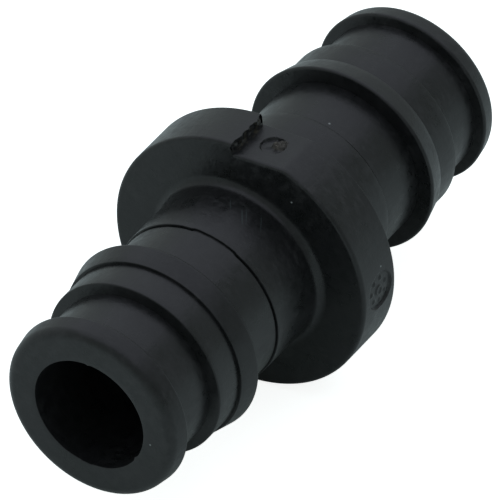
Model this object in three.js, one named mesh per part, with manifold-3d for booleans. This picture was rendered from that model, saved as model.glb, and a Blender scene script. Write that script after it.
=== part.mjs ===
// Straight push fit coupling for plastic pipe: one hollow moulding with a ridged spigot on each end
// and a stop collar in the middle. Millimetres, +Z up, +X along the bore, origin at the centre.
import * as THREE from 'three';
import { mergeVertices } from 'three/addons/utils/BufferGeometryUtils.js';
import Module from 'manifold-3d';

const wasm = await Module();
wasm.setup();

// Lengths along the bore. Each "end" distance is counted from the near end face.
const LENGTH = 58.1;
const NOSE_END = 1.0;             // where the nose's rounding runs into the tapered lip
const LIP_END = 2.35;             // the lip's widest line
const LIP_BACK_END = 2.5;         // foot of the lip's short rear wall
const RIDGE_WALL_FOOT = 7.65;     // the wall between the neck and the first ridge leans back a little
const RIDGE_WALL_TOP = 7.8;
const FIRST_RIDGE_END = 11.1;
const GRIP_RIDGE_END = 13.45;     // sharp rear edge that holds the pipe
const FIRST_LAND_END = 19.15;     // low step between the two lands
const COLLAR_FACE = 26.35;

// Radii.
const BORE_RADIUS = 5.9;
const NOSE_RADIUS = 9.05;         // where the nose's rounding ends
const LIP_RADIUS = 9.4;
const NECK_RADIUS = 8.3;
const FIRST_RIDGE_RADIUS = 9.4;
const GRIP_RIDGE_FRONT_RADIUS = 9.7;
const GRIP_RIDGE_BACK_RADIUS = 10.25;
const FIRST_LAND_RADIUS = 8.55;
const SECOND_LAND_RADIUS = 8.75;
const COLLAR_RADIUS = 13.75;

// Roundings, each a quarter circle that starts on a face square to the bore.
const RIDGE_ROUNDING = 0.15;
const COLLAR_ROUNDING = 0.35;
const COLLAR_FILLET = 0.9;        // hollow curve between the second land and the collar's face
const NOSE_STEPS = 6;
const RIDGE_STEPS = 3;
const COLLAR_STEPS = 3;
const FILLET_STEPS = 5;
const TURN_STEPS = 72;

// Gate notch: a flat milled into the collar's rim, with its wall on the mould's parting plane, Y = 0.
const NOTCH_FLAT_HEIGHT = 12.6;
const NOTCH_MARGIN = 1;           // how far the cutter passes the collar on each free side
const NOTCH_WIDTH = Math.sqrt(COLLAR_RADIUS ** 2 - NOTCH_FLAT_HEIGHT ** 2);

// Round pockets that mould pins leave: one on the notch's flat, one on the rim at -Y.
const GATE_PIN = { radius: 1.3, depth: 0.3, x: 0.3, y: -2.65 };
const RIM_PIN = { radius: 2.0, depth: 0.22, x: 0.2, z: -0.4 };
const PIN_STEPS = 24;

const plastic = new THREE.MeshStandardMaterial({
  name: 'black_plastic',
  color: 0x2c2e2f,
  roughness: 0.5,
  metalness: 0,
});

// The rounded edge of a face that stands at faceX, up to the radius outerRadius.
function roundedEdge(faceX, outerRadius, rounding, steps) {
  const points = [];
  for (let i = 0; i <= steps; i += 1) {
    const angle = (i / steps) * (Math.PI / 2);
    points.push([
      faceX + rounding * (1 - Math.cos(angle)),
      outerRadius - rounding * (1 - Math.sin(angle)),
    ]);
  }
  return points;
}

// The hollow curve from a land of radius landRadius up to the face that stands at faceX.
function filletedFoot(faceX, landRadius, fillet, steps) {
  const points = [];
  for (let i = 0; i <= steps; i += 1) {
    const angle = (i / steps) * (Math.PI / 2);
    points.push([
      faceX - fillet * (1 - Math.sin(angle)),
      landRadius + fillet * (1 - Math.cos(angle)),
    ]);
  }
  return points;
}

// The outside of one spigot and half the collar, as [distance from the end face, radius].
function spigotOutline() {
  return [
    ...roundedEdge(0, NOSE_RADIUS, NOSE_END, NOSE_STEPS),
    [LIP_END, LIP_RADIUS],
    [LIP_BACK_END, NECK_RADIUS],
    [RIDGE_WALL_FOOT, NECK_RADIUS],
    ...roundedEdge(RIDGE_WALL_TOP, FIRST_RIDGE_RADIUS, RIDGE_ROUNDING, RIDGE_STEPS),
    [FIRST_RIDGE_END, FIRST_RIDGE_RADIUS],
    [FIRST_RIDGE_END, GRIP_RIDGE_FRONT_RADIUS],
    [GRIP_RIDGE_END, GRIP_RIDGE_BACK_RADIUS],
    [GRIP_RIDGE_END, FIRST_LAND_RADIUS],
    [FIRST_LAND_END, FIRST_LAND_RADIUS],
    [FIRST_LAND_END, SECOND_LAND_RADIUS],
    ...filletedFoot(COLLAR_FACE, SECOND_LAND_RADIUS, COLLAR_FILLET, FILLET_STEPS),
    ...roundedEdge(COLLAR_FACE, COLLAR_RADIUS, COLLAR_ROUNDING, COLLAR_STEPS),
  ];
}

// The whole wall in section: out along the near spigot, back down its mirror image, and home
// through the bore.
function wallSection() {
  const near = spigotOutline().map(([distance, radius]) => [distance - LENGTH / 2, radius]);
  const far = near.map(([x, radius]) => [-x, radius]).reverse();
  const bore = [[LENGTH / 2, BORE_RADIUS], [-LENGTH / 2, BORE_RADIUS]];
  const loop = [...near, ...far, ...bore];
  return [...loop, loop[0]].map(([x, radius]) => new THREE.Vector2(radius, x));
}

// A three.js geometry as a solid that can be joined and cut.
function solidOf(geometry) {
  const bare = geometry.index ? geometry.clone() : geometry;
  bare.deleteAttribute('normal');
  bare.deleteAttribute('uv');
  const merged = mergeVertices(bare);
  return new wasm.Manifold(new wasm.Mesh({
    numProp: 3,
    vertProperties: new Float32Array(merged.attributes.position.array),
    triVerts: new Uint32Array(merged.index.array),
  }));
}

// A solid as a three.js geometry.
function geometryOf(solid) {
  const mesh = solid.getMesh();
  const geometry = new THREE.BufferGeometry();
  geometry.setAttribute('position', new THREE.BufferAttribute(mesh.vertProperties, 3));
  geometry.setIndex(new THREE.BufferAttribute(mesh.triVerts, 1));
  geometry.computeVertexNormals();
  return geometry;
}

// The lathe turns about Y, so a quarter turn lays its axis along X.
function turnedWall() {
  const lathe = new THREE.LatheGeometry(wallSection(), TURN_STEPS);
  lathe.rotateZ(-Math.PI / 2);
  return solidOf(lathe);
}

// The block that cuts the gate notch, from the parting plane out past the rim.
function notchCutter() {
  const collarWidth = LENGTH - 2 * COLLAR_FACE;
  const height = COLLAR_RADIUS - NOTCH_FLAT_HEIGHT + NOTCH_MARGIN;
  const block = new THREE.BoxGeometry(
    collarWidth + 2 * NOTCH_MARGIN,
    NOTCH_WIDTH + NOTCH_MARGIN,
    height,
  );
  block.translate(0, -(NOTCH_WIDTH + NOTCH_MARGIN) / 2, NOTCH_FLAT_HEIGHT + height / 2);
  return solidOf(block);
}

// A pin standing along Z whose lower face is the floor of a pocket.
function pinCutter(pin) {
  const height = pin.depth + NOTCH_MARGIN;
  const cutter = new THREE.CylinderGeometry(pin.radius, pin.radius, height, PIN_STEPS);
  cutter.rotateX(Math.PI / 2);
  cutter.translate(0, 0, height / 2 - pin.depth);
  return cutter;
}

function gatePinCutter() {
  return solidOf(pinCutter(GATE_PIN).translate(GATE_PIN.x, GATE_PIN.y, NOTCH_FLAT_HEIGHT));
}

function rimPinCutter() {
  const cutter = pinCutter(RIM_PIN).rotateX(Math.PI / 2);
  return solidOf(cutter.translate(RIM_PIN.x, -COLLAR_RADIUS, RIM_PIN.z));
}

const body = new THREE.Mesh(
  geometryOf(
    turnedWall().subtract(notchCutter()).subtract(gatePinCutter()).subtract(rimPinCutter()),
  ),
  plastic,
);
body.name = 'coupling_body';

const coupling = new THREE.Group();
coupling.add(body);

export default coupling;
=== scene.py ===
"""Looks of the push fit coupling: a satin black moulding on a pale floor, under soft studio light.

The moulding is one closed net of quads. Rows follow the wall's section round from the bore,
over the near end face, along the outside, over the far end face and home through the bore. Columns
run round the bore's axis. Lengths here are in millimetres until the net is made.
"""

import math

import bpy
import numpy as np
from mathutils import Matrix, Vector, noise


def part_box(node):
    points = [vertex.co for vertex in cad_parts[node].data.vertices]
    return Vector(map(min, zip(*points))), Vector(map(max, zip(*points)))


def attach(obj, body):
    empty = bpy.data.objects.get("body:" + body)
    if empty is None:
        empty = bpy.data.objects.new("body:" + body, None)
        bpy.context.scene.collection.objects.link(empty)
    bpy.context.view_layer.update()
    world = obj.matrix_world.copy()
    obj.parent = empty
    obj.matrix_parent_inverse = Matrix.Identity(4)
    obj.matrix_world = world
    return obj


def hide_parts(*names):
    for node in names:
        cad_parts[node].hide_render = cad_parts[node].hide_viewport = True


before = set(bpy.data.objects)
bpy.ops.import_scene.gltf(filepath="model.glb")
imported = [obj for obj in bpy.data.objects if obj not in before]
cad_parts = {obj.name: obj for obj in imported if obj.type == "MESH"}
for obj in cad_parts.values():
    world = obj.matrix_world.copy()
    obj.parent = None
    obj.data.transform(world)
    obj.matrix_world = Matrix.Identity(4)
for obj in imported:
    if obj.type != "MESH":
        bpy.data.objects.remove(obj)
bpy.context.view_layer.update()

MM = 0.001
NODE = "coupling_body"

# ---------------------------------------------------------------- sizes, in millimetres
node_low, node_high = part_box(NODE)
LENGTH = (node_high.x - node_low.x) / MM
COLLAR_RADIUS = node_high.z / MM

# Distances from an end face, and radii, as the CAD has them.
NOSE_END = 1.0
LIP_END = 2.35
LIP_BACK_END = 2.5
RIDGE_WALL_FOOT = 7.65
RIDGE_WALL_TOP = 7.8
FIRST_RIDGE_END = 11.1
GRIP_RIDGE_END = 13.45
FIRST_LAND_END = 19.15
COLLAR_FACE = 26.35
BORE_RADIUS = 5.9
NOSE_RADIUS = 9.05
LIP_RADIUS = 9.4
NECK_RADIUS = 8.3
FIRST_RIDGE_RADIUS = 9.4
GRIP_FRONT_RADIUS = 9.7
GRIP_BACK_RADIUS = 10.25
FIRST_LAND_RADIUS = 8.55
SECOND_LAND_RADIUS = 8.75
COLLAR_FILLET = 0.9
NOTCH_FLAT_HEIGHT = 12.6

FOOT_RADIUS = SECOND_LAND_RADIUS + COLLAR_FILLET
GROOVE_WIDTH = 0.18               # hairline groove that the mould leaves beside the land step
GROOVE_RADIUS = FIRST_LAND_RADIUS - 0.12

# Roundings that a mould leaves on its corners.
BORE_EDGE = 0.06
RIDGE_EDGE = 0.15
BACK_EDGE = 0.28
COLLAR_EDGE = 0.35
FAR_COLLAR_EDGE = 0.05
LONGEST_ROW_STEP = 0.7
RIM_ROW_STEP = 0.1
FACE_ROWS = 24
ARC_STEPS = 4
WIDE_ARC_STEPS = 12
WIDE_ARC = 0.25                   # roundings from this radius up get the finer arc
SHARP_ANGLE = 40                  # degrees between two faces that meet at a crisp corner

# The two mould halves meet on the plane Y = 0, at the top (angle 0) and the bottom (angle 180).
# Angles run from +Z towards -Y.
SEAM_HEIGHT = 0.012
SEAM_HALF_WIDTH = 0.055
NOTCH_END_ANGLE = math.degrees(math.acos(NOTCH_FLAT_HEIGHT / COLLAR_RADIUS))
WALL_COLUMNS = 14
WALL_SPREAD = 0.12                # degrees that the notch wall's columns take up elsewhere
FINE_COLUMN = 0.36
COARSE_COLUMN = 1.0
FINE_STRETCHES = ((0.0, 27.0), (79.0, 104.0), (177.0, 183.0), (357.0, 360.0))

# The gate notch in the collar, and the pockets of the two mould pins.
FLAT_BLEND = 0.12                 # how softly the notch's flat runs out into the rim
WALL_LEAN = 0.02                  # how far the notch wall's top leans towards +Y
DEEPEST_TEAR = 0.4
GATE_PIN = {"x": 0.3, "y": -2.65, "radius": 1.3, "depth": 0.28}
RIM_PIN = {"x": 0.2, "z": -0.4, "radius": 2.0, "depth": 0.22}
GATE_STUB = {"x": 0.7, "y": -3.1, "radius": 0.7}
SLIVER_HEIGHT = 0.2
DIAL = {
    "ring": 0.45, "dots": 7, "first_dot": 20, "dot_circle": 1.25, "dot_radius": 0.34, "height": 0.11,
}

# The smaller mould insert: degrees over which its surface begins and ends, and what it changed.
INSERT_BEGINS = (-1, 0.5)
INSERT_ENDS = (30.5, 32)
GROOVE_FILLING = 0.11
STEP_SHIFT = 0.09
STEP_WANDER = 0.025

# Burrs at the near mouth of the bore, as angle, width in degrees and relative height.
BURR_HEIGHT = 0.1
BURRS = ((2.5, 1.6, 1.0), (124, 2.2, 1.6))
RAGGED_STRETCHES = ((-163, 7), (176, 8))    # angle, width in degrees

# ---------------------------------------------------------------- colours, light and camera
PLASTIC = (0.0080, 0.0090, 0.0090, 1)
MOTTLE = (0.0120, 0.0120, 0.0132, 1)
BLOTCH = (0.0150, 0.0150, 0.0158, 1)
SCUFF = (0.024, 0.024, 0.025, 1)
DRAG_MARK = (0.035, 0.045, 0.045, 1)
DIRT = (0.042, 0.037, 0.026, 1)
TORN_PLASTIC = (0.12, 0.108, 0.09, 1)
PALE_SPECK = (0.26, 0.28, 0.28, 1)
FLOOR_COLOUR = (0.88, 0.97, 0.92, 1)
ROOM_COLOUR = (0.89, 1.0, 1.0, 1)

# Azimuths are in degrees: 0 is at -Y, and 90 is at +X. Distances are in metres.
FLOOR_HALF_WIDTH = 3.0
FLOOR_GLOW = 0.85
BRIGHT_SIDE = 150                 # azimuth of the room's brighter side
DIM_ROOM = 0.28
BRIGHT_ROOM = 0.55
OVERHEAD = {
    "azimuth": 110, "elevation": 78, "distance": 0.5, "size": 0.9, "radiance": 0.44,
    "colour": (0.79, 0.78, 1.0),
}
CAMERA_AZIMUTH = -56.1
CAMERA_ELEVATION = 37.0
CAMERA_ROLL = 3.6
CAMERA_DISTANCE = 1.015
CAMERA_LENS = 777.6
CAMERA_AIM = Vector((-0.37, 0.26, -0.22)) * MM


# ---------------------------------------------------------------- section of the wall
def rounded_corner(before, corner, after, radius):
    """Points of the arc that rounds one corner of an outline, or the bare corner for radius 0."""
    if radius == 0:
        return [corner]
    corner_point = Vector(corner)
    to_before, to_after = Vector(before) - corner_point, Vector(after) - corner_point
    half_angle = to_before.angle(to_after) / 2
    reach = min(radius / math.tan(half_angle), 0.45 * to_before.length, 0.45 * to_after.length)
    radius = reach * math.tan(half_angle)
    bisector = (to_before.normalized() + to_after.normalized()).normalized()
    centre = corner_point + bisector * (radius / math.sin(half_angle))
    start = corner_point + to_before.normalized() * reach - centre
    end = corner_point + to_after.normalized() * reach - centre
    turn = start.angle_signed(end)
    steps = WIDE_ARC_STEPS if radius >= WIDE_ARC else ARC_STEPS
    points = []
    for step in range(steps + 1):
        arm = start.copy()
        arm.rotate(Matrix.Rotation(-turn * step / steps, 2))
        points.append(tuple(centre + arm))
    return points


def spigot_outline():
    """Outside of one spigot, from the bore's edge to the collar's foot, as (distance, radius)."""
    corners = [
        (LIP_BACK_END, BORE_RADIUS, 0),
        (0, BORE_RADIUS, BORE_EDGE),
        (0, NOSE_RADIUS, NOSE_END),
        (LIP_END, LIP_RADIUS, BACK_EDGE),
        (LIP_BACK_END, NECK_RADIUS, 0),
        (RIDGE_WALL_FOOT, NECK_RADIUS, 0),
        (RIDGE_WALL_TOP, FIRST_RIDGE_RADIUS, RIDGE_EDGE),
        (FIRST_RIDGE_END, FIRST_RIDGE_RADIUS, 0),
        (FIRST_RIDGE_END, GRIP_FRONT_RADIUS, 0.08),
        (GRIP_RIDGE_END, GRIP_BACK_RADIUS, BACK_EDGE),
        (GRIP_RIDGE_END, FIRST_LAND_RADIUS, 0),
        (FIRST_LAND_END - GROOVE_WIDTH, FIRST_LAND_RADIUS, 0),
        (FIRST_LAND_END - GROOVE_WIDTH, GROOVE_RADIUS, 0),
        (FIRST_LAND_END, GROOVE_RADIUS, 0),
        (FIRST_LAND_END, SECOND_LAND_RADIUS, 0.08),
        (COLLAR_FACE, SECOND_LAND_RADIUS, COLLAR_FILLET),
        (COLLAR_FACE, COLLAR_RADIUS, 0),
    ]
    outline = []
    for before, corner, after in zip(corners, corners[1:], corners[2:]):
        outline += rounded_corner(before[:2], corner[:2], after[:2], corner[2])
    return outline


def without_long_steps(outline):
    """The same outline with extra points wherever two neighbours are far apart."""
    filled = [outline[0]]
    for (x0, r0), (x1, r1) in zip(outline, outline[1:]):
        pieces = max(1, math.ceil(math.hypot(x1 - x0, r1 - r0) / LONGEST_ROW_STEP))
        for piece in range(1, pieces + 1):
            share = piece / pieces
            filled.append((x0 + (x1 - x0) * share, r0 + (r1 - r0) * share))
    return filled


def half_rows(collar_edge):
    """Rows from the bore's edge to the collar's middle: x, radius, share of the rim, inset."""
    rows = [(s - LENGTH / 2, r, 0.0, 0.0) for s, r in without_long_steps(spigot_outline())]
    face_x = COLLAR_FACE - LENGTH / 2
    for step in range(1, FACE_ROWS + 1):
        rows.append((face_x, FOOT_RADIUS, step / FACE_ROWS, collar_edge))
    for step in range(1, ARC_STEPS + 1):
        angle = math.pi / 2 * step / ARC_STEPS
        rows.append((
            face_x + collar_edge * (1 - math.cos(angle)),
            FOOT_RADIUS,
            1.0,
            collar_edge * (1 - math.sin(angle)),
        ))
    rim_start = face_x + collar_edge
    rim_rows = round(-rim_start / RIM_ROW_STEP)
    for step in range(1, rim_rows):
        rows.append((rim_start * (1 - step / rim_rows), FOOT_RADIUS, 1.0, 0.0))
    return rows


def all_rows():
    """Every row of the net, as an array of x, radius, rim share and inset."""
    near = half_rows(COLLAR_EDGE)
    middle = [(0.0, FOOT_RADIUS, 1.0, 0.0)]
    far = [(-x, r, share, inset) for x, r, share, inset in reversed(half_rows(FAR_COLLAR_EDGE))]
    reach = -near[0][0]
    bore_rows = math.ceil(reach / LONGEST_ROW_STEP)
    bore = [
        (reach * (1 - 2 * step / bore_rows), BORE_RADIUS, 0.0, 0.0) for step in range(1, bore_rows)
    ]
    return np.array(near + middle + far + bore)


# ---------------------------------------------------------------- columns round the axis
def column_angles():
    """Angles of the columns in degrees: fine where there is detail, coarse elsewhere."""
    angles, angle = [], WALL_SPREAD
    while angle < 360 - WALL_SPREAD - FINE_COLUMN / 2:
        angles.append(angle)
        fine = any(low <= angle < high for low, high in FINE_STRETCHES)
        angle += FINE_COLUMN if fine else COARSE_COLUMN
    wall = np.linspace(-WALL_SPREAD, WALL_SPREAD, WALL_COLUMNS, endpoint=False)
    return np.concatenate([wall, angles])


def rim_outline(angles):
    """The collar's outline across the axis: a circle less the gate notch, as (y, z)."""
    turn = np.radians(angles)
    radius = np.full(len(angles), COLLAR_RADIUS)
    on_flat = (angles >= WALL_SPREAD - 1e-9) & (angles < 2 * NOTCH_END_ANGLE)
    cut = COLLAR_RADIUS - NOTCH_FLAT_HEIGHT / np.cos(turn[on_flat])
    soft_cut = cut + np.hypot(cut, FLAT_BLEND)
    radius[on_flat] -= (soft_cut - soft_cut[-1]) / 2
    y, z = -radius * np.sin(turn), radius * np.cos(turn)
    down = np.linspace(0, 1, WALL_COLUMNS, endpoint=False)
    y[:WALL_COLUMNS] = WALL_LEAN * (1 - down)
    z[:WALL_COLUMNS] = COLLAR_RADIUS + (NOTCH_FLAT_HEIGHT - COLLAR_RADIUS) * down
    return y, z


# ---------------------------------------------------------------- small shapes on the surface
def smooth_step(value, low, high):
    """Rises smoothly from 0 at low to 1 at high."""
    share = np.clip((value - low) / (high - low), 0, 1)
    return share * share * (3 - 2 * share)


def disc(distance, radius, softness=0.12):
    """1 inside a circle and 0 outside it, with a soft wall between."""
    return 1 - smooth_step(distance, radius - softness, radius)


def rough(x, y, z, size):
    """Smooth noise between about -1 and 1, whose lumps are size millimetres across."""
    x, y, z = np.broadcast_arrays(x, y, z)
    points = np.stack([x, y, z], -1).reshape(-1, 3) / size
    return np.array([noise.noise(Vector(point)) for point in points]).reshape(x.shape)


def bell(distance, width):
    """1 at distance 0, falling away smoothly over the width."""
    return np.exp(-(distance / width) ** 2)


def net_points():
    """The net's vertices, rows by columns by 3, in millimetres."""
    rows, angles = all_rows(), column_angles()
    x = np.repeat(rows[:, :1], len(angles), 1)
    radius, share, inset = (rows[:, i:i + 1] for i in (1, 2, 3))
    turn = np.radians(angles)[None, :]
    from_top = (angles[None, :] + 180) % 360 - 180
    radius = radius + seam_bead(x, radius, from_top) + bore_burrs(x, radius, from_top)
    radius = radius + groove_filling(x, radius, from_top)
    x = x + land_step_shift(x, radius, from_top)
    rim_y, rim_z = rim_outline(angles)
    keep = 1 - inset / np.hypot(rim_y, rim_z)[None, :]
    y = (1 - share) * -radius * np.sin(turn) + share * rim_y[None, :] * keep
    z = (1 - share) * radius * np.cos(turn) + share * rim_z[None, :] * keep
    on_collar = (share > 0.99) & (np.abs(x) < LENGTH / 2 - COLLAR_FACE + 0.01)
    on_rim = on_collar & (np.abs(x) < LENGTH / 2 - COLLAR_FACE - 0.1)
    flat = on_rim & (z > NOTCH_FLAT_HEIGHT - 0.1) & (y < -0.2)
    z[flat] -= gate_pocket(x[flat], y[flat])
    side = on_rim & (y < 0) & (np.abs(z) < 3)
    y[side] += rim_pocket(x[side], z[side])
    wall = on_collar & (z > NOTCH_FLAT_HEIGHT + 0.02) & (np.abs(y) < 0.03)
    y[wall] += torn_wall(x[wall], z[wall])
    return np.stack([x, y, z], -1)


def seam_bead(x, radius, from_top):
    """Height of the thin bead on the parting plane, which comes and goes along the moulding."""
    outside = radius > BORE_RADIUS + 1
    from_seam = np.minimum(np.abs(from_top), 180 - np.abs(from_top))
    comes_and_goes = np.clip(0.4 + rough(x[:, :1], 0, 0, 2.3), 0, 1)
    bead = bell(radius * np.radians(from_seam), SEAM_HALF_WIDTH)
    return SEAM_HEIGHT * outside * comes_and_goes * bead


def bore_burrs(x, radius, from_top):
    """Small burrs that stand inwards from the near mouth of the bore."""
    at_mouth = (radius < BORE_RADIUS + BORE_EDGE + 0.01) * bell(x + LENGTH / 2, 0.25)
    burrs = sum(height * bell(from_top - angle, width) for angle, width, height in BURRS)
    uneven = 0.6 + rough(from_top, 0, 0, 3.0)
    burrs = burrs + uneven * sum(bell(from_top - angle, width) for angle, width in RAGGED_STRETCHES)
    return -BURR_HEIGHT * at_mouth * burrs


def on_insert(from_top):
    """1 over the part of the turn that the smaller mould insert shaped, with soft ends."""
    return smooth_step(from_top, *INSERT_BEGINS) * (1 - smooth_step(from_top, *INSERT_ENDS))


def groove_filling(x, radius, from_top):
    """How much shallower the hairline groove is where the smaller insert shaped it."""
    beside_step = np.abs(np.abs(x) - LENGTH / 2 + FIRST_LAND_END) < 0.2
    in_groove = beside_step & (radius < GROOVE_RADIUS + 0.05)
    outside = radius > BORE_RADIUS + 1
    return GROOVE_FILLING * on_insert(from_top) * in_groove * outside


def land_step_shift(x, radius, from_top):
    """How far the low step between the near lands wanders along the bore."""
    step_x = FIRST_LAND_END - LENGTH / 2
    near_step = bell(x - step_x, 0.5) * (radius > BORE_RADIUS + 1)
    return near_step * (STEP_SHIFT * on_insert(from_top) + STEP_WANDER * rough(from_top, 0, 0, 6.0))


def gate_pocket(x, y):
    """Depth of the pocket on the notch's flat, less the torn stub that the gate left in it."""
    distance = np.hypot(x - GATE_PIN["x"], y - GATE_PIN["y"])
    pocket = GATE_PIN["depth"] * disc(distance, GATE_PIN["radius"])
    along, across = (x - y - 3.0) / 3.0, (x + y + 2.35) / 0.55
    sliver = SLIVER_HEIGHT * bell(np.hypot(along, across), 0.28) * (pocket > 0.1)
    stub_distance = np.hypot(x - GATE_STUB["x"], (y - GATE_STUB["y"]) / 1.1)
    stub_distance = stub_distance + 0.16 * rough(x, y, 0, 0.5)
    torn = 0.34 + 0.22 * rough(x, y, 0, 0.24) + 0.1 * rough(x, y, 5, 0.11)
    stub = disc(stub_distance, GATE_STUB["radius"], 0.22) * torn
    return pocket - stub - sliver


def rim_pocket(x, z):
    """Depth of the pocket on the rim at -Y, less a plain dial: a raised ring with dots round it."""
    distance = np.hypot(x - RIM_PIN["x"], z - RIM_PIN["z"])
    pocket = RIM_PIN["depth"] * disc(distance, RIM_PIN["radius"])
    raised = disc(np.abs(distance - DIAL["ring"]), 0.2, 0.16)
    for step in range(DIAL["dots"]):
        angle = math.radians(360 / DIAL["dots"] * step + DIAL["first_dot"])
        dot_x = RIM_PIN["x"] + DIAL["dot_circle"] * math.cos(angle)
        dot_z = RIM_PIN["z"] + DIAL["dot_circle"] * math.sin(angle)
        dot = disc(np.hypot(x - dot_x, z - dot_z), DIAL["dot_radius"], 0.24)
        raised = np.maximum(raised, dot)
    return pocket - DIAL["height"] * raised


def torn_wall(x, z):
    """How far the ragged wall of the gate notch stands out or in."""
    height = (z - NOTCH_FLAT_HEIGHT) / (COLLAR_RADIUS - NOTCH_FLAT_HEIGHT)
    ragged = 0.42 * rough(x, 0, z / 2, 1.1) + 0.16 * rough(x, 3, z, 0.35)
    return np.clip(ragged, -DEEPEST_TEAR, DEEPEST_TEAR) * smooth_step(height, 0, 0.35)


def build_skin():
    """The moulding's visible mesh, in metres."""
    points = net_points()
    row_count, column_count = points.shape[:2]
    index = np.arange(row_count * column_count).reshape(row_count, column_count)
    next_row, next_column = np.roll(index, -1, 0), np.roll(index, -1, 1)
    across = np.roll(next_row, -1, 1)
    quads = np.stack([index, next_row, across, next_column], -1).reshape(-1, 4)
    mesh = bpy.data.meshes.new("coupling_moulding")
    mesh.from_pydata((points.reshape(-1, 3) * MM).tolist(), [], quads.tolist())
    mesh.shade_smooth()
    mesh.set_sharp_from_angle(angle=math.radians(SHARP_ANGLE))
    mesh.update()
    skin = bpy.data.objects.new("coupling_moulding", mesh)
    bpy.context.scene.collection.objects.link(skin)
    weighting = skin.modifiers.new("weighted_normals", "WEIGHTED_NORMAL")
    weighting.mode = "FACE_AREA"
    weighting.keep_sharp = True
    return skin


# ---------------------------------------------------------------- material
class Nodes:
    """Adds nodes to a material and links them by name."""

    def __init__(self, material):
        self.tree = material.node_tree

    def add(self, kind, values=None, **settings):
        """A node, with its settings, and with a number or another node's output in each socket."""
        node = self.tree.nodes.new(kind)
        for name, value in settings.items():
            setattr(node, name, value)
        for name, value in (values or {}).items():
            if isinstance(value, bpy.types.NodeSocket):
                self.tree.links.new(value, node.inputs[name])
            else:
                node.inputs[name].default_value = value
        return node

    def noise(self, coordinates, scale, detail=3.0, roughness=0.5):
        """Noise about 0.5, with lumps that are 1 / scale metres across."""
        node = self.add(
            "ShaderNodeTexNoise",
            {"Vector": coordinates, "Scale": scale, "Detail": detail, "Roughness": roughness},
        )
        return node.outputs["Fac"]

    def remap(self, value, low, high, to_low, to_high):
        """The value's range from low to high, mapped to another range and held at its ends."""
        node = self.add(
            "ShaderNodeMapRange",
            {
                "Value": value,
                "From Min": low, "From Max": high,
                "To Min": to_low, "To Max": to_high,
            },
        )
        return node.outputs["Result"]

    def math(self, operation, first, second):
        node = self.add("ShaderNodeMath", {0: first, 1: second}, operation=operation)
        return node.outputs["Value"]

    def blend(self, mask, under, over):
        """The colour under, covered by the colour over where the mask is 1."""
        node = self.add("ShaderNodeMix", {"Factor": mask}, data_type="RGBA")
        for socket, colour in zip((6, 7), (under, over)):
            if isinstance(colour, bpy.types.NodeSocket):
                self.tree.links.new(colour, node.inputs[socket])
            else:
                node.inputs[socket].default_value = colour
        return node.outputs[2]

    def stretch(self, coordinates, scale):
        """The coordinates, scaled by its own number along each axis."""
        node = self.add("ShaderNodeMapping", {"Vector": coordinates, "Scale": scale})
        return node.outputs["Vector"]

    def bump(self, height, strength, distance, normal=None):
        """The surface normal, tilted by a height; distance is in metres."""
        values = {"Height": height, "Strength": strength, "Distance": distance}
        if normal is not None:
            values["Normal"] = normal
        return self.add("ShaderNodeBump", values).outputs["Normal"]


def on_surface(x, radius, angle):
    """A point on the moulding, in metres, from its distance along the bore, radius and angle."""
    turn = math.radians(angle)
    return (x * MM, -radius * math.sin(turn) * MM, radius * math.cos(turn) * MM)


# Pale specks: centre, and radius in millimetres.
SPECKS = (
    (on_surface(COLLAR_FACE - LENGTH / 2, 11.15, 34.3), 0.12),
    (on_surface(10.6, FIRST_LAND_RADIUS, 15.3), 0.13),
    (on_surface(-LENGTH / 2, 6.7, 99.3), 0.11),
    (on_surface(RIM_PIN["x"] + 0.5, COLLAR_RADIUS, 81.3), 0.12),
)
# Drag marks across the second land: two ends, and half width in millimetres.
DRAG_MARKS = (
    (on_surface(-4.9, SECOND_LAND_RADIUS, 14.4), on_surface(-6.7, SECOND_LAND_RADIUS, 22.1), 0.1),
    (on_surface(-4.6, SECOND_LAND_RADIUS, 16.3), on_surface(-6.2, SECOND_LAND_RADIUS, 23.0), 0.07),
    (on_surface(-4.4, SECOND_LAND_RADIUS, 4.0), on_surface(-5.6, SECOND_LAND_RADIUS, 9.0), 0.06),
    (on_surface(-4.2, SECOND_LAND_RADIUS, 26.0), on_surface(-5.9, SECOND_LAND_RADIUS, 33.0), 0.06),
)


def strongest(nodes, masks):
    """The largest of several masks."""
    total = masks[0]
    for mask in masks[1:]:
        total = nodes.math("MAXIMUM", total, mask)
    return total


def spot(nodes, place, centre, radii, rotation=(0, 0, 0)):
    """1 inside an ellipsoid and 0 outside it, with a soft edge."""
    local = nodes.add(
        "ShaderNodeMapping",
        {"Vector": place, "Location": centre, "Rotation": rotation, "Scale": radii},
        vector_type="TEXTURE",
    )
    length = nodes.add(
        "ShaderNodeVectorMath", {0: local.outputs["Vector"]}, operation="LENGTH",
    )
    return nodes.remap(length.outputs["Value"], 0.55, 1.0, 1.0, 0.0)


def drag_mark(nodes, place, start, end, half_width):
    """1 along a straight scratch between two points, which tapers a little past its ends."""
    along = Vector(end) - Vector(start)
    rotation = along.to_track_quat("X", "Z").to_euler()
    thin = half_width * MM
    radii = (along.length * 0.6, thin, thin)
    return spot(nodes, place, (Vector(start) + Vector(end)) / 2, radii, rotation)


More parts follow.
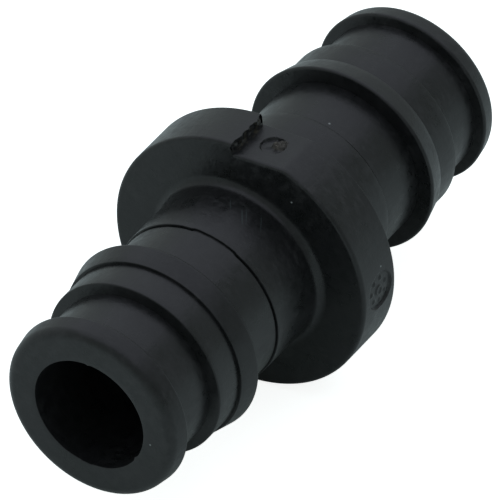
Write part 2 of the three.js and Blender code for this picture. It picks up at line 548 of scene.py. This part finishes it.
def black_plastic():
    """Satin black plastic: faint mottling, grain, drag marks, scuffs, specks and a little dirt."""
    material = bpy.data.materials.new("black_plastic")
    material.use_nodes = True
    material.node_tree.nodes.clear()
    nodes = Nodes(material)
    place = nodes.add("ShaderNodeTexCoord").outputs["Object"]

    mottle = nodes.noise(place, 260, detail=4, roughness=0.6)
    blotches = nodes.noise(nodes.stretch(place, (900, 1300, 1300)), 1.0, detail=4, roughness=0.7)
    grain = nodes.noise(place, 3600, detail=3)
    waves = nodes.noise(nodes.stretch(place, (300, 700, 700)), 1.0, detail=2)
    streaks = nodes.noise(nodes.stretch(place, (90, 1500, 1500)), 1.0, detail=3)
    scuffs = nodes.noise(nodes.stretch(place, (1900, 900, 900)), 1.0, detail=4, roughness=0.65)
    patches = nodes.remap(nodes.noise(place, 170, detail=2), 0.42, 0.62, 0.25, 1.0)
    scuff_mask = nodes.math("MULTIPLY", nodes.remap(scuffs, 0.46, 0.68, 0.0, 1.0), patches)
    specks = strongest(nodes, [
        spot(nodes, place, centre, (radius * MM,) * 3) for centre, radius in SPECKS
    ])
    drags = strongest(nodes, [drag_mark(nodes, place, *mark) for mark in DRAG_MARKS])
    stub = spot(
        nodes, place,
        (GATE_STUB["x"] * MM, GATE_STUB["y"] * MM, NOTCH_FLAT_HEIGHT * MM),
        (0.85 * MM, 0.92 * MM, 0.8 * MM),
    )
    at_wall = spot(
        nodes, place, (0.3 * MM, -0.05 * MM, (NOTCH_FLAT_HEIGHT + 0.4) * MM),
        (3.6 * MM, 0.45 * MM, 0.9 * MM),
    )
    crumbs = nodes.remap(nodes.noise(place, 1700, detail=3), 0.52, 0.64, 0.0, 1.0)
    dirt = nodes.math("MULTIPLY", at_wall, crumbs)

    torn_crumbs = nodes.remap(crumbs, 0.0, 1.0, 0.45, 1.0)
    colour = PLASTIC
    for mask, over in (
        (nodes.remap(mottle, 0.35, 0.7, 0.0, 1.0), MOTTLE),
        (nodes.remap(blotches, 0.5, 0.8, 0.0, 1.0), BLOTCH),
        (scuff_mask, SCUFF),
        (nodes.math("MULTIPLY", drags, 0.8), DRAG_MARK),
        (dirt, DIRT),
        (nodes.math("MULTIPLY", stub, torn_crumbs), TORN_PLASTIC),
        (specks, PALE_SPECK),
    ):
        colour = nodes.blend(mask, colour, over)

    worn = strongest(nodes, [nodes.math("MULTIPLY", scuff_mask, 0.5), stub, dirt, specks])
    dullness = nodes.math(
        "ADD",
        nodes.remap(mottle, 0.3, 0.7, 0.20, 0.32),
        nodes.remap(blotches, 0.3, 0.7, 0.0, 0.12),
    )
    roughness = nodes.math("ADD", dullness, nodes.math("MULTIPLY", worn, 0.3))
    normal = nodes.bump(waves, 0.3, 0.00012)
    normal = nodes.bump(grain, 0.45, 0.00003, normal)
    normal = nodes.bump(streaks, 0.35, 0.00003, normal)
    shader = nodes.add(
        "ShaderNodeBsdfPrincipled",
        {"Base Color": colour, "Roughness": roughness, "Normal": normal, "IOR": 1.44},
    )
    output = nodes.add("ShaderNodeOutputMaterial")
    nodes.tree.links.new(shader.outputs["BSDF"], output.inputs["Surface"])
    return material


def floor_material():
    """A pale matt floor, bright enough to read as plain white where it is seen directly."""
    material = bpy.data.materials.new("pale_floor")
    material.use_nodes = True
    nodes = Nodes(material)
    shader = material.node_tree.nodes["Principled BSDF"]
    shader.inputs["Base Color"].default_value = FLOOR_COLOUR
    shader.inputs["Roughness"].default_value = 0.9
    seen = nodes.add("ShaderNodeLightPath").outputs["Is Camera Ray"]
    nodes.tree.links.new(
        nodes.math("MULTIPLY", seen, FLOOR_GLOW), shader.inputs["Emission Strength"],
    )
    shader.inputs["Emission Color"].default_value = (1, 1, 1, 1)
    return material


# ---------------------------------------------------------------- stage, light and camera
def add_floor():
    """The staged floor, level with the lowest point of the moulding."""
    half = FLOOR_HALF_WIDTH
    mesh = bpy.data.meshes.new("floor")
    corners = [(-half, -half, 0), (half, -half, 0), (half, half, 0), (-half, half, 0)]
    mesh.from_pydata(corners, [], [(0, 1, 2, 3)])
    floor = bpy.data.objects.new("floor", mesh)
    floor.location.z = node_low.z
    floor.data.materials.append(floor_material())
    bpy.context.scene.collection.objects.link(floor)


def add_area_light(name, azimuth, elevation, distance, size, radiance, colour):
    """A square soft light that faces the object."""
    light = bpy.data.lights.new(name, "AREA")
    light.shape = "SQUARE"
    light.size = size
    light.energy = radiance * math.pi * size * size
    light.color = colour
    lamp = bpy.data.objects.new(name, light)
    towards = direction_to(azimuth, elevation)
    lamp.location = towards * distance
    lamp.rotation_euler = towards.to_track_quat("Z", "Y").to_euler()
    bpy.context.scene.collection.objects.link(lamp)


def direction_to(azimuth, elevation):
    """The unit vector from the origin towards an azimuth and elevation in degrees."""
    turn, rise = math.radians(azimuth), math.radians(elevation)
    level = math.cos(rise)
    return Vector((math.sin(turn) * level, -math.cos(turn) * level, math.sin(rise)))


def add_world():
    """A pale room: even light that is stronger on the side that BRIGHT_SIDE faces."""
    world = bpy.data.worlds.new("pale_room")
    world.use_nodes = True
    nodes = Nodes(world)
    background = world.node_tree.nodes["Background"]
    background.inputs["Color"].default_value = ROOM_COLOUR
    direction = nodes.add("ShaderNodeTexCoord").outputs["Generated"]
    along = nodes.add(
        "ShaderNodeVectorMath",
        {0: direction, 1: direction_to(BRIGHT_SIDE, 0)},
        operation="DOT_PRODUCT",
    )
    strength = nodes.remap(along.outputs["Value"], -1, 1, DIM_ROOM, BRIGHT_ROOM)
    nodes.tree.links.new(strength, background.inputs["Strength"])
    bpy.context.scene.world = world


def add_camera():
    """The camera that sees the object as it lies, from above its -Y side."""
    data = bpy.data.cameras.new("camera")
    data.lens = CAMERA_LENS
    data.sensor_width = 36.0
    data.clip_start, data.clip_end = 0.1, 20.0
    camera = bpy.data.objects.new("camera", data)
    back = direction_to(CAMERA_AZIMUTH, CAMERA_ELEVATION)
    level = back.to_track_quat("Z", "Y").to_matrix()
    turned = level @ Matrix.Rotation(math.radians(-CAMERA_ROLL), 3, "Z")
    place = Matrix.Translation(CAMERA_AIM + back * CAMERA_DISTANCE)
    camera.matrix_world = place @ turned.to_4x4()
    bpy.context.scene.collection.objects.link(camera)
    bpy.context.scene.camera = camera


add_camera()
add_world()
add_floor()
add_area_light("overhead", **OVERHEAD)
bpy.context.scene.view_settings.view_transform = "Standard"

skin = build_skin()
skin.data.materials.append(black_plastic())
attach(skin, "root")
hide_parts(NODE)
